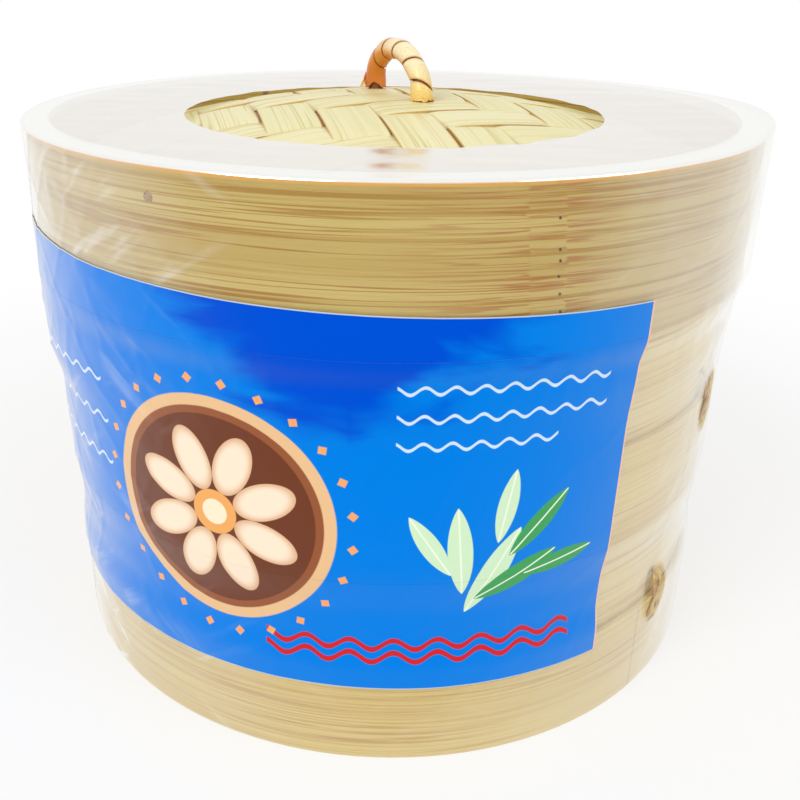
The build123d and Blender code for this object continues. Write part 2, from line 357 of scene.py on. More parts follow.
# %% [markdown]
# Scraped bamboo is straw coloured, with broad golden bands, fine fibres a millimetre apart,
# hairs finer still, and thin brown lines. Each is a noise stretched far along the fibres. A
# thin line is where a noise crosses its middle value, so it wanders and ends as a drawn line
# does, and patches of another noise switch it on and off. The group takes a vector whose X
# runs along the fibres, so that any piece can use it.

# %% Bamboo grain
grain_group, t, given, result = new_group(
    "bamboo_grain", "Vector Pale Gold Brown Bands Streaks", "Color Roughness Height"
)


def drawn_out(along, up, into, roughness=0.5):
    """A noise by its waves per metre along the fibres, up the strip and into it."""
    return t.noise(t.stretch(given["Vector"], along, up, into), roughness=roughness)


bands = drawn_out(5.0, 130.0, 60.0)
fibres = drawn_out(8.0, 620.0, 260.0)
hairs = drawn_out(26.0, 1900.0, 700.0, 0.6)
patches = drawn_out(14.0, 90.0, 60.0)
lines = drawn_out(5.0, 430.0, 200.0)
lines = t.ramp(t.size(t.minus(lines, 0.5)), 0.036, 0.008)
band_share = t.times(t.ramp(bands, 0.34, 0.68), t.times(given["Bands"], 0.6))
line_share = t.times(t.times(lines, t.ramp(patches, 0.30, 0.52)), 0.8)
fibre_share = t.times(t.ramp(fibres, 0.50, 0.62), 0.35)
hair_share = t.times(t.ramp(hairs, 0.50, 0.72), 0.25)
fine_share = t.plus(line_share, t.plus(fibre_share, hair_share))
color = t.mix(t.plus(band_share, fine_share, clamp=True), given["Pale"], given["Gold"])
brown_line = t.times(lines, t.ramp(patches, 0.45, 0.60))
brown_line = t.plus(brown_line, t.times(t.ramp(hairs, 0.62, 0.8), 0.30))
color = t.mix(t.times(brown_line, given["Streaks"], clamp=True), color, given["Brown"])
t.give(
    result, Color=color, Roughness=t.plus(t.times(hairs, 0.25), 0.32),
    Height=t.plus(t.times(fibres, 0.6), t.times(hairs, 0.4)),
)
print("bamboo grain made")

# %% [markdown]
# A joint of the culm leaves its own marks on a hoop: an upright row of small dark pores, and
# brown streaks that start sharply on either side of it and fade out along the strip. The
# group counts degrees from the joint, so that one hoop's joint can be put anywhere.

# %% Culm joint
pore_pitch = 0.0034
joint_height = 0.147          # height where the joint is at its stated azimuth
joint_lean = 57.0             # degrees that the joint leans in one metre of height
joint_left, joint_right = -3.8, 0.9      # degrees, where the streaks on either side begin
joint_group, t, given, result = new_group("culm_joint", "Vector Degrees Joint", "Streaks Pores")
x, y = t.split(given["Vector"])[:2]
lean = t.times(t.minus(y, joint_height), joint_lean)
offset = t.plus(t.minus(given["Degrees"], given["Joint"]), lean)
jag = t.noise(t.join(0.0, t.times(y, 900.0), 0.0), detail=0.0)
ragged = t.plus(offset, t.times(t.minus(jag, 0.5), 1.6))
right_part = t.math("GREATER_THAN", ragged, joint_right)
left_part = t.math("LESS_THAN", ragged, joint_left)
middle_part = t.minus(1.0, t.plus(right_part, left_part))
seed = t.plus(t.times(right_part, 5.3), t.times(left_part, 9.1))
lines = t.noise(t.join(t.times(x, 18.0), t.times(y, 760.0), seed))
lines = t.ramp(t.size(t.minus(lines, 0.5)), 0.05, 0.01)
fade_right = t.times(right_part, t.ramp(ragged, 11.0, 1.0))
fade_left = t.times(left_part, t.ramp(ragged, -24.0, joint_left))
strength = t.plus(t.plus(fade_right, fade_left), t.times(middle_part, 0.8))
cell = t.share(y, pore_pitch)
index = t.math("FLOOR", cell)
luck = t.add("ShaderNodeTexWhiteNoise", {"Vector": t.join(index, 3.0, 7.0)}).outputs["Color"]
luck_up, luck_aside, luck_here = t.split(luck)
up = t.times(t.minus(t.minus(cell, index), t.plus(0.3, t.times(luck_up, 0.4))), 3.4)
aside = t.plus(t.times(offset, 1.78), t.times(t.minus(luck_aside, 0.5), 0.5))
dot = t.ramp(t.length(t.join(up, aside, 0.0)), 0.42, 0.26)
t.give(
    result, Streaks=t.times(lines, t.times(strength, 0.8)),
    Pores=t.times(dot, t.math("GREATER_THAN", luck_here, 0.35)),
)
print("culm joint made")

# %% [markdown]
# One maker turns that group into the finish of each kind of bamboo piece. Hoops use round
# coordinates and slats straight ones. The outer skin of the culm stays as a thin orange line
# just under the lid's rim, and the sawn top of the rim is almost white.

# %% Bamboo materials
joint_brown = linear(158, 94, 10)
pore_dark = linear(52, 34, 14)
skin_orange = linear(222, 158, 58)
sawn_white = linear(254, 250, 232)


def finish_bamboo(tree, surface, grain, color, depth):
    paint(tree, surface, color)
    tree.put(surface.inputs["Roughness"], grain["Roughness"])
    tree.relief(surface, grain["Height"], depth, 0.0004)


def new_bamboo(name):
    return new_material(name, Coat_Weight=0.12, Coat_Roughness=0.3)


def hoop_bamboo(name, pale, gold, joint, streaks, rim=None, lift=0.0):
    """Bamboo bent into a hoop. A lift moves the pattern, so that no two kinds look alike."""
    material, tree, surface = new_bamboo(name)
    place = tree.add("ShaderNodeMapping", {"Vector": tree.place(), "Location": (0.0, 0.0, lift)})
    vector, degrees = tree.group(around_group, Vector=place.outputs[0])
    grain = tree.group(
        grain_group, Vector=vector, Pale=pale, Gold=gold, Brown=brown, Bands=0.7, Streaks=streaks
    )
    marks = tree.group(joint_group, Vector=vector, Degrees=degrees, Joint=joint)
    color = tree.mix(marks["Streaks"], grain["Color"], joint_brown)
    color = tree.mix(marks["Pores"], color, pore_dark)
    if rim is not None:
        height = tree.split(tree.place())[2]
        orange_share = tree.ramp(height, rim - 1.1 * MM, rim - 0.6 * MM)
        color = tree.mix(tree.times(orange_share, 0.8), color, skin_orange)
        inner = tree.ramp(tree.split(vector)[2], lid_radius - 0.1 * MM, lid_radius - 0.4 * MM)
        top = tree.ramp(height, rim - 1.4 * MM, rim - 0.6 * MM)
        color = tree.mix(tree.times(inner, top), color, sawn_white)
    finish_bamboo(tree, surface, grain, color, 0.35)
    return material


def straight_bamboo(name, pale, gold, along_y=False):
    material, tree, surface = new_bamboo(name)
    place = tree.place()
    if along_y:
        x, y, z = tree.split(place)
        place = tree.join(y, x, z)
    grain = tree.group(
        grain_group, Vector=place, Pale=pale, Gold=gold, Brown=brown, Bands=0.6, Streaks=0.5
    )
    finish_bamboo(tree, surface, grain, grain["Color"], 0.3)
    return material


brown = linear(158, 102, 24)
lid_bamboo = hoop_bamboo(
    "lid_hoop_bamboo", linear(194, 171, 96), linear(160, 121, 14), 19.3, 0.45, rim=rim_z
)
band_bamboo = hoop_bamboo(
    "band_bamboo", linear(211, 185, 98), linear(190, 151, 52), -118.0, 0.3, lift=0.31
)
wall_bamboo = hoop_bamboo(
    "wall_bamboo", linear(216, 193, 122), linear(196, 162, 74), 128.0, 0.35, lift=0.62
)
slat_bamboo = straight_bamboo("slat_bamboo", linear(222, 200, 146), linear(202, 172, 108))
bar_bamboo = straight_bamboo(
    "crossbar_bamboo", linear(214, 188, 130), linear(190, 156, 92), along_y=True
)
print("bamboo materials", lid_bamboo.name, band_bamboo.name, wall_bamboo.name, slat_bamboo.name)

# %% [markdown]
# Pegs are cut across the fibres, so their ends show pores as dark points. They take a darker
# bamboo with a dotted noise instead of long grain.

# %% Peg material
peg_bamboo, t, surface = new_material("peg_end_grain", 0.6)
dots = t.ramp(t.noise(t.place(), 2600.0, detail=1.0), 0.52, 0.66)
peg_color = t.mix(t.noise(t.place(), 400.0), linear(178, 146, 94), linear(140, 106, 60))
paint(t, surface, t.mix(dots, peg_color, linear(98, 66, 34)))
t.relief(surface, dots, 0.4, 0.0002)
print("peg material", peg_bamboo.name)

# %% Bamboo on the frame's nodes
def bamboo_for(name):
    if "pegs" in name:
        return peg_bamboo
    if "slat" in name or "lining" in name:
        return slat_bamboo
    if "crossbar" in name:
        return bar_bamboo
    if name.startswith("lid"):
        return lid_bamboo
    return band_bamboo if "band" in name else wall_bamboo


for name, node in nodes.items():
    if not name.startswith(("film", "label")):
        use_material(node, bamboo_for(name))
print("bamboo on", len(nodes), "nodes")

# %% [markdown]
# The lid's cover is woven from split bamboo, about fifteen millimetres to a strip, in a
# twill: each upright strip lies over two cross strips and then under two, one step lower in
# each next column. A flat texture would miss the shadows between strips, so every strip is
# a sheet of its own that rises and dips over the dome, then gets its thickness.

# %% Weave sizes
strip_pitch = 15.0 * MM
strip_width = 14.5 * MM
strip_thick = 0.55 * MM
strip_swing = 0.36 * MM       # how far a strip lies above or below the weave's middle
upright_turn = -77.0          # directions of the two sets of strips, from +X towards +Y
cross_turn = 24.0
upright_start = Vector((-11.5, -30.0)) * MM    # middle of the column that the twill counts from
cross_start = Vector((0.0, -21.0)) * MM        # middle of the cross strip below its float's top
strips_each_way = 8           # strips tried to either side of the first
meets_each_way = 14           # crossings that each strip looks for, to either side
dome_radius = 95.0 * MM
cover_thick = 1.6 * MM
cover_edge_z = node_foot("lid_woven_cover") + cover_thick
dome_rise = crest_z - cover_edge_z
sphere_radius = (dome_radius ** 2 + dome_rise ** 2) / (2 * dome_rise)


def cover_height(x, y):
    """Height of the weave's middle above the floor."""
    reach = min(math.hypot(x, y), dome_radius)
    drop = sphere_radius - math.sqrt(sphere_radius ** 2 - reach ** 2)
    return crest_z - drop - cover_thick / 2


def unit(degrees):
    return Vector((math.cos(math.radians(degrees)), math.sin(math.radians(degrees))))


def ease(share):
    share = min(max(share, 0.0), 1.0)
    return share * share * (3 - 2 * share)


print("weave sphere radius", round(sphere_radius, 4))


# %% Weave the strips
def crossing(start, along, other_start, other_along):
    """How far along one strip it meets the middle line of another."""
    away = other_start - start
    return away.cross(other_along) / along.cross(other_along)


def strip_side(index, other, upright):
    """+1 where this strip lies on top, -1 where it lies below."""
    column, row = (index, other) if upright else (other, index)
    upright_on_top = (row - column) % 4 < 2
    return 1.0 if upright_on_top == upright else -1.0


def weave_strip(index, upright, dice):
    own_turn, other_turn = (upright_turn, cross_turn) if upright else (cross_turn, upright_turn)
    along = unit(own_turn + dice.uniform(-0.7, 0.7))
    other_along = unit(other_turn)
    own_side = unit(own_turn + (90 if upright else -90))
    other_side = unit(other_turn + (-90 if upright else 90))
    home, other_home = (upright_start, cross_start) if upright else (cross_start, upright_start)
    start = home + own_side * (index * strip_pitch + dice.uniform(-0.2, 0.2) * MM)
    meets = []
    for other in range(-meets_each_way, meets_each_way + 1):
        meet = crossing(start, along, other_home + other_side * (other * strip_pitch), other_along)
        meets.append((meet, strip_side(index, other, upright)))
    meets.sort()
    width = strip_width * dice.uniform(0.97, 1.02)
    flat = Vector((along.y, -along.x))
    foot = start - along * start.dot(along)
    reach = cover_radius - 0.4 * MM
    if foot.length + width / 2 > reach - 4 * MM:
        return None

    def swing(distance):
        for (low, low_side), (high, high_side) in zip(meets, meets[1:]):
            if low <= distance <= high:
                share = ease(((distance - low) / (high - low) - 0.22) / 0.56)
                return low_side + (high_side - low_side) * share
        return meets[-1][1] if distance > meets[-1][0] else meets[0][1]

    depths = []

    def place(u, v):
        offset = (u - 0.5) * width
        middle = foot + flat * offset
        half = math.sqrt(max(reach ** 2 - middle.length_squared, 0.0))
        point = middle + along * ((2 * v - 1) * half - middle.dot(along))
        distance = (point - start).dot(along)
        crown = 0.10 * MM * (1 - (2 * u - 1) ** 2)
        rest = ease((point.length - (dome_radius - 4 * MM)) / (5 * MM))
        depths.append(0.5 - 0.5 * swing(distance))
        lift = (strip_swing * swing(distance) + crown) * (1 - 0.35 * rest)
        return Vector((point.x, point.y, cover_height(point.x, point.y) + lift))

    piece = add_grid(f"weave_{'upright' if upright else 'cross'}_{index}", 6, 140)
    bend(piece, place)
    tint = piece.data.attributes.new("tint", "FLOAT", "POINT")
    value = dice.random()
    tint.data.foreach_set("value", [value] * len(piece.data.vertices))
    sunk_shade = piece.data.attributes.new("sunk_shade", "FLOAT", "POINT")
    sunk_shade.data.foreach_set("value", depths)
    use_modifier(piece, "SOLIDIFY", thickness=strip_thick, offset=0.0, use_even_offset=True)
    return piece


dice = random.Random(7)
strips = []
for upright in (True, False):
    for index in range(-strips_each_way, strips_each_way + 1):
        strips.append(weave_strip(index, upright, dice))
strips = [strip for strip in strips if strip]
woven_cover = join("lid_weave", strips)
merge_and_face_out(woven_cover)
smooth(woven_cover, 35.0)
print("weave strips", len(strips), "faces", len(woven_cover.data.polygons))

# %% [markdown]
# Each strip is split from the culm's inside, pale and a little green, with fibres along it.
# The primitive sheet already carries a UV map whose V runs along the strip, so the grain
# follows every strip wherever it is bent. Two stored values help: a tint that makes no two
# strips alike, and how low a strip lies, which is painted as brown shade where it dives
# under another. The strips' edges get a painted shade too, for the gaps between them.

# %% Weave material
weave_bamboo, t, surface = new_material("woven_bamboo", 0.45)
u, v = t.split(t.add("ShaderNodeUVMap").outputs[0])[:2]
tint = t.add("ShaderNodeAttribute", attribute_name="tint").outputs["Fac"]
sunk_shade = t.add("ShaderNodeAttribute", attribute_name="sunk_shade").outputs["Fac"]
vector = t.join(t.times(v, 2 * dome_radius), t.times(u, strip_width), t.times(tint, 37.0))
grain = t.group(
    grain_group, Vector=vector, Pale=linear(240, 232, 184), Gold=linear(226, 212, 150),
    Brown=linear(196, 170, 96), Bands=0.5, Streaks=0.4,
)
color = t.mix(t.times(tint, 0.3), grain["Color"], linear(222, 220, 150))
# painted shade: the strips' edges are darkened to gold brown for the shaded gaps between strips
edge = t.ramp(t.size(t.minus(u, 0.5)), 0.465, 0.5)
color = t.mix(t.times(edge, 0.75), color, linear(206, 162, 62))
# painted shade: brown where a strip lies low under another
color = t.mix(t.times(t.ramp(sunk_shade, 0.35, 0.95), 0.9), color, linear(150, 86, 22))
finish_bamboo(t, surface, grain, color, 0.35)
dress(woven_cover, "lid", "woven_bamboo", weave_bamboo, "lid_woven_cover")
print("weave dressed")

# %% [markdown]
# The shrink film is a thin clear sheet that lies on the hoops, spans the step under the lid
# and stands a little off the lid's right side. One function gives its radius at any azimuth
# and height, so that film and label follow the same creases. The creases are ridges of a
# noise that is stretched along two slanting directions, as heat draws the film together.

# %% Film's shape
foot_gap = 0.03 * MM
tier_radius = band_radius + 0.45 * MM
lid_film_radius = film_radius - 0.1 * MM
crease_radius = 102.0         # millimetres, turns an azimuth into a way round the film


def bump(value, middle, width):
    return math.exp(-((value - middle) / width) ** 2)


def ridge(along, across, seed):
    """A sharp crease where a noise crosses zero, between 0 and 1."""
    value = noise.noise(Vector((along, across, seed)))
    return max(0.0, 1.0 - abs(value) * 5.0)


def creases(azimuth, z):
    """Height of the film's creases in metres."""
    arc = math.radians(azimuth) * crease_radius
    high = z / MM
    rising = 0.75 * arc + 0.66 * high
    falling = 0.80 * arc - 0.60 * high
    left = 0.22 + 0.6 * ease((-20.0 - azimuth) / 40.0)
    soft = noise.noise(Vector((arc / 26.0, high / 19.0, 3.7)))
    first = ridge(rising / 46.0, falling / 11.0, 1.3)
    second = ridge(falling / 40.0, rising / 13.0, 8.1)
    fine = ridge(arc / 6.0, high / 22.0, 5.5) * bump(high, 106.0, 9.0)
    return (0.16 * soft + left * (0.30 * first ** 2 + 0.26 * second ** 2) + 0.14 * fine) * MM


def film_reach(azimuth, z):
    """Radius of the film. It slants in from the lid to the wall, and stands off over a tie."""
    high = z / MM
    if z >= lid_foot_z:
        stands_off = 2.6 * bump(azimuth, 86.0, 17.0) * MM
        return lid_film_radius + stands_off + creases(azimuth, z)
    right_step = 0.65 * ease((high - 106.0) / 8.2) + 0.35 * ease((high - 90.0) / 16.0)
    left_step = ease((high - 82.0) / 13.0)
    left = ease((-35.0 - azimuth) / 30.0)
    step = right_step + (left_step - right_step) * left
    low = ease((60.0 - high) / 8.0)
    pinch = ease((57.0 - high) / 12.0) * ease((high - 29.0) / 10.0)
    reach = tier_radius + (lid_film_radius - tier_radius) * step - (0.28 * low + 1.1 * pinch) * MM
    upper_tie = bump(azimuth, 60.0, 4.0) * bump(high, 83.0, 11.0)
    lower_tie = bump(azimuth, 50.5, 4.0) * bump(high, 27.5, 11.0)
    tie = min(upper_tie + lower_tie, 1.0)
    return reach + (0.5 + 0.4 * low) * MM * tie + creases(azimuth, z)


at_lid, at_tier = film_reach(0, 0.13), film_reach(0, 0.07)
print("film radius at the lid", round(at_lid, 4), "at a tier", round(at_tier, 4))

# %% [markdown]
# The film goes on as a sleeve over each tier. Over the lid it turns inwards at the rim and
# ends in a round opening, so its grid runs up the side, round the corner and in to the edge
# of that opening, where shrink film always pulls thick and slightly wavy.

# %% Film pieces
film_turns = 480
hole_middle = Vector((0.3, -11.1)) * MM
hole_radius = 57.9 * MM
corner = 1.1 * MM
side_end, corner_end = 0.5, 0.58         # shares of the rows where side and corner end


def sleeve(name, bottom, top, rows):
    def place(u, v):
        azimuth, z = 360 * u - 180, bottom + (top - bottom) * v
        return polar(azimuth, film_reach(azimuth, z), z)

    piece = add_grid(name, film_turns, rows)
    bend(piece, place)
    return piece


def over_lid(u, v):
    azimuth = 360 * u - 180
    lift = 1.4 * MM * bump(azimuth, 95.0, 32.0)
    side_top = rim_z + 0.55 * MM - corner + lift
    if v < side_end:
        z = lid_foot_z + foot_gap + (side_top - lid_foot_z - foot_gap) * v / side_end
        return polar(azimuth, film_reach(azimuth, z), z)
    edge = film_reach(azimuth, side_top)
    if v < corner_end:
        turn = math.radians(90 * (v - side_end) / (corner_end - side_end))
        inwards = corner * (1 - math.cos(turn))
        return polar(azimuth, edge - inwards, side_top + corner * math.sin(turn))
    share = (v - corner_end) / (1 - corner_end)
    outer = polar(azimuth, edge - corner, side_top + corner)
    inner = polar(azimuth, hole_radius, side_top + corner)
    inner += Vector((hole_middle.x, hole_middle.y, 0.12 * MM - lift))
    point = outer.lerp(inner, share)
    wave = noise.noise(Vector((point.x / 0.021, point.y / 0.009, 2.0)))
    curl = 0.35 * MM * ease((share - 0.97) / 0.03) * noise.noise(Vector((azimuth / 9.0, 0.0, 6.0)))
    point.z += 0.22 * MM * wave * math.sin(math.pi * share) + curl
    return point


lid_film = add_grid("film_over_lid", film_turns, 100)
bend(lid_film, over_lid)
upper_film = sleeve("film_round_upper_tier", joint_z + foot_gap, lid_foot_z - foot_gap, 56)
lower_film = sleeve("film_round_lower_tier", 0.4 * MM, joint_z - foot_gap, 56)
for piece in (lid_film, upper_film, lower_film):
    merge_and_face_out(piece)
    smooth(piece, 60.0)
print("film faces", [len(piece.data.polygons) for piece in (lid_film, upper_film, lower_film)])

# %% [markdown]
# Clear film shows as a veil: almost nothing where one looks straight through it, and white
# where one looks along it, because it mirrors the white surroundings. So it is a very thin
# mirror: metal, with an alpha that follows the facing angle as a sheet with two faces
# reflects. Painted highlights add pale streaks along pulled creases, mostly on the left. The
# film is pressed clear over the ties, and thick and milky where it is folded over the lid,
# where it is painted greyer inside the rim as painted shade of the weave below. It keeps back
# hardly any light, so its alpha drops for shadows and for light that bounces.

# %% Film material
slant_cosine, slant_sine = 0.84, 0.54    # both sets of creases slant by 33 degrees
streak_group, t, given, result = new_group("film_streaks", "Vector", "Streaks")
x, y = t.split(given[0])[:2]
flat_x, flat_y = t.times(x, slant_cosine), t.times(y, slant_cosine)
steep_x, steep_y = t.times(x, slant_sine), t.times(y, slant_sine)
rising, rising_side = t.plus(flat_x, steep_y), t.minus(steep_x, flat_y)
falling, falling_side = t.minus(flat_x, steep_y), t.plus(steep_x, flat_y)
first = t.noise(t.join(t.times(rising, 26.0), t.times(rising_side, 130.0), 0.0), detail=3.0)
second = t.noise(t.join(t.times(falling, 24.0), t.times(falling_side, 120.0), 4.0), detail=3.0)
both = t.most(t.ramp(first, 0.58, 0.74), t.ramp(second, 0.60, 0.76))
patch = t.noise(t.join(t.times(x, 30.0), t.times(y, 34.0), 9.0), detail=1.0)
t.give(result, Streaks=t.times(both, t.ramp(patch, 0.38, 0.58)))

film_clear, t, surface = new_material("clear_film", 0.18, Metallic=1.0)
vector, degrees = t.group(around_group, Vector=t.place())
streaks = t.group(streak_group, Vector=vector)[0]
left = t.plus(t.times(t.ramp(degrees, -8.0, -55.0), t.ramp(degrees, -150.0, -95.0)), 0.2)
facing = t.facing()
one_face = t.plus(t.times(t.power(facing, 5.0), 0.96), 0.02)
veil = t.share(t.times(one_face, 2.0), t.plus(one_face, 1.0))
veil = t.plus(veil, t.times(t.ramp(facing, 0.12, 0.45), 0.24))
# painted highlights: pale streaks on the creases, strongest on the left
veil = t.plus(veil, t.times(t.times(streaks, left), 0.5))
height, radius = t.split(vector)[1:]
height, radius = t.times(height, 1000.0), t.times(radius, 1000.0)
for tie_degrees, tie_height in ((60.0, 83.0), (49.8, 29.5)):
    beside = t.share(t.minus(degrees, tie_degrees), 3.6)
    above = t.share(t.minus(height, tie_height), 8.5)
    away = t.plus(t.power(beside, 2.0), t.power(above, 2.0))
    veil = t.times(veil, t.plus(t.times(t.ramp(away, 0.6, 1.5), 0.75), 0.25))
over = t.ramp(height, 151.5, 151.9)
veil = t.most(veil, t.times(over, t.plus(t.times(facing, 0.08), 0.88)))
sees = t.add("ShaderNodeLightPath").outputs
lighting = t.most(sees["Is Shadow Ray"], sees["Is Diffuse Ray"])
veil = t.times(veil, t.minus(1.0, t.times(lighting, 0.85)))
# painted shade: the film over the lid is a little greyer, and greyer still inside the rim, for the
# shaded weave seen under it
inside = t.times(over, t.ramp(radius, 96.4, 95.6))
tone = t.mix(over, linear(250, 249, 244), linear(244, 244, 241))
paint(t, surface, t.mix(inside, tone, linear(233, 229, 223)))
t.put(surface.inputs["Alpha"], t.least(veil, 0.97))
for piece, body, replaced in (
    (lid_film, "lid", ("film_lid_top", "film_lid_side")),
    (upper_film, "upper_tier", ("film_upper",)),
    (lower_film, "lower_tier", ("film_lower",)),
):
    dress(piece, body, "film", film_clear, *replaced)
print("film dressed")

# %% [markdown]
# The paper label lies on the film and is cut where the film is. It is a thin sheet with a
# real thickness, and it follows every crease and the slope under the lid, which breaks up
# its painted reflection into patches.

# %% Label pieces
label_left, label_right = -85.0, 34.2    # azimuths of the side edges at the foot
label_spread = 0.8            # degrees that the right edge gains up to the top
label_low = node_foot("label_lower")
label_high = node_top("label_lid")
label_lift = 0.22 * MM


def label_tilt(azimuth):
    """The label was put on a little slanting: its upper edge rises to the left."""
    return (0.55 - 0.05 * azimuth) * MM


def label_sheet(name, bottom, top, rows):
    piece = add_grid(name, 200, rows)

    def place(u, v):
        right = label_right + label_spread * (bottom + (top - bottom) * v) / label_high
        azimuth = label_left + (right - label_left) * u
        upper = top + (label_tilt(azimuth) if top == label_high else 0.0)
        z = bottom + (upper - bottom) * v
        return polar(azimuth, film_reach(azimuth, z) + label_lift, z)

    bend(piece, place)
    use_modifier(piece, "SOLIDIFY", thickness=0.16 * MM, offset=0.0)
    merge_and_face_out(piece)
    smooth(piece, 50.0)
    return piece


label_on_lid = label_sheet("label_on_lid", lid_foot_z + foot_gap, label_high, 14)
label_on_upper = label_sheet("label_on_upper_tier", joint_z + foot_gap, lid_foot_z - foot_gap, 60)
label_on_lower = label_sheet("label_on_lower_tier", label_low, joint_z - foot_gap, 34)
print("label", round(label_low, 4), "to", round(label_high, 4), "m high")

# %% [markdown]
# The print is a plain pattern of the kind found on kitchen goods, in blue, cream, peach and
# green. It is built from three small groups that each answer one question about a point of
# the sheet, in millimetres along and up: is it in this leaf, on this wave, or in this flower?

# %% Shapes of the print
leaf_group, t, given, result = new_group(
    "print_leaf", "Along Up X Z Turn Length Width", "Leaf Rib"
)
dx, dz = t.minus(given["Along"], given["X"]), t.minus(given["Up"], given["Z"])
angle = t.math("RADIANS", given["Turn"])
cosine, sine = t.math("COSINE", angle), t.math("SINE", angle)
along = t.plus(t.times(dx, cosine), t.times(dz, sine))
across = t.size(t.minus(t.times(dz, cosine), t.times(dx, sine)))
share = t.share(along, given["Length"], clamp=True)
belly = t.times(t.times(share, t.minus(1.0, share)), 4.0)
room = t.minus(t.times(t.power(belly, 0.8), given["Width"]), across)
rib = t.times(t.ramp(across, 0.3, 0.1), t.ramp(room, 0.2, 0.4))
t.give(result, Leaf=t.ramp(room, 0.0, 0.25), Rib=rib)

wave_group, t, given, result = new_group(
    "print_wave", "Along Up From To Z Swing Length Half", "Wave"
)
turns = t.share(t.times(given["Along"], 2 * math.pi), given["Length"])
middle = t.plus(given["Z"], t.times(t.math("SINE", turns), given["Swing"]))
away = t.size(t.minus(given["Up"], middle))
line = t.ramp(t.minus(given["Half"], away), -0.12, 0.12)
start = t.ramp(t.minus(given["Along"], given["From"]), 0.0, 0.3)
end = t.ramp(t.minus(given["To"], given["Along"]), 0.0, 0.3)
t.give(result, Wave=t.times(line, t.times(start, end)))

petal_middle, petal_half_length, petal_half_width = 14.5, 8.6, 4.9
dot_circle = 35.0
flower_group, t, given, result = new_group(
    "print_flower", "Along Up Petals", "Radius Petal Edge Dots"
)
radius = t.length(t.join(given["Along"], given["Up"], 0.0))
turn = t.math("ARCTAN2", given["Up"], given["Along"])
sector = t.share(2 * math.pi, given["Petals"])
local = t.minus(t.math("FLOORED_MODULO", turn, sector), t.times(sector, 0.5))
out = t.minus(t.times(radius, t.math("COSINE", local)), petal_middle)
aside = t.times(radius, t.math("SINE", local))
long, wide = t.share(out, petal_half_length), t.share(aside, petal_half_width)
oval = t.plus(t.power(long, 2.0), t.power(wide, 2.0))
small = t.share(sector, 3.0)
spot = t.minus(t.math("FLOORED_MODULO", turn, small), t.times(small, 0.5))
dot_away = t.plus(t.times(t.size(spot), dot_circle), t.size(t.minus(radius, dot_circle)))
t.give(
    result, Radius=radius, Petal=t.ramp(oval, 1.0, 0.94), Edge=t.ramp(oval, 0.35, 1.0),
    Dots=t.ramp(dot_away, 1.5, 1.2),
)
print("print groups made")

# %% Label material
sheet_left, sheet_right = -148.4, 59.7   # the sheet's edges in millimetres
sheet_low, sheet_high = 23.8, 124.55
label_print, t, surface = new_material("label_print", 0.2, Specular_IOR_Level=0.0)
vector, degrees = t.group(around_group, Vector=t.place())
along, high = t.split(vector)[:2]
along, high = t.times(along, 1000.0), t.times(high, 1000.0)
# painted reflection: the blue is lighter in cloudy patches, low down and towards the sides, where
# the gloss mirrors the white surroundings
patch = t.join(t.times(along, 0.022), t.times(high, 0.055), 2.0)
deep = t.plus(t.times(high, 0.028), t.times(t.noise(patch, detail=4.0, distortion=0.8), 1.6))
deep = t.minus(deep, t.times(t.size(t.plus(along, 8.0)), 0.018))
art = t.mix(t.ramp(deep, 3.25, 3.6), linear(0, 125, 224), linear(0, 78, 206))

# white waves, as (from, to, height) in millimetres, then two red ones under the leaves
short_waves = [
    (-138, -78, 96), (-138, -78, 84), (-138, -78, 72), (2, 52, 107), (2, 52, 100), (2, 40, 93),
]
for x_from, x_to, height in short_waves:
    ends = {"From": x_from, "To": x_to, "Z": height}
    wave = t.group(wave_group, Along=along, Up=high, Swing=0.9, Length=6.5, Half=0.42, **ends)[0]
    art = t.mix(t.times(wave, 0.85), art, linear(222, 238, 250))
for height in (33.5, 37.0):
    ends = {"From": -30, "To": 50, "Z": height}
    wave = t.group(wave_group, Along=along, Up=high, Swing=1.3, Length=11.0, Half=0.75, **ends)[0]
    art = t.mix(wave, art, linear(205, 42, 48))

# leaves, as (foot's place along and up, turn in degrees, length, half width)
leaves = (
    (20, 46, 62, 27, 3.4), (22, 50, 30, 24, 3.2), (19, 52, 95, 25, 3.2),
    (30, 62, 48, 22, 2.8), (27, 66, 80, 20, 2.6), (34, 56, 12, 20, 2.6), (16, 58, 122, 20, 2.6),
)
for number, sizes in enumerate(leaves):
    sizes = dict(zip(("X", "Z", "Turn", "Length", "Width"), sizes))
    leaf, rib = t.group(leaf_group, Along=along, Up=high, **sizes)
    art = t.mix(leaf, art, linear(66, 160, 92) if number % 2 else linear(206, 234, 196))
    art = t.mix(rib, art, linear(238, 246, 226))

flower = t.group(flower_group, Along=t.plus(along, 42.0), Up=t.minus(high, 70.0), Petals=8.0)


def disc(below, radius, soft, color):
    return t.mix(t.ramp(flower["Radius"], radius + soft, radius - soft), below, color)


art = t.mix(flower["Dots"], art, linear(246, 168, 104))
art = disc(art, 31.0, 0.2, linear(232, 190, 142))
art = disc(art, 28.0, 0.2, linear(150, 88, 56))
art = disc(art, 26.0, 0.2, linear(112, 62, 42))
petal = t.mix(flower["Edge"], linear(250, 228, 202), linear(222, 178, 138))
art = t.mix(flower["Petal"], art, petal)
art = disc(art, 6.05, 0.15, linear(240, 170, 96))
art = disc(art, 3.45, 0.15, linear(250, 232, 200))

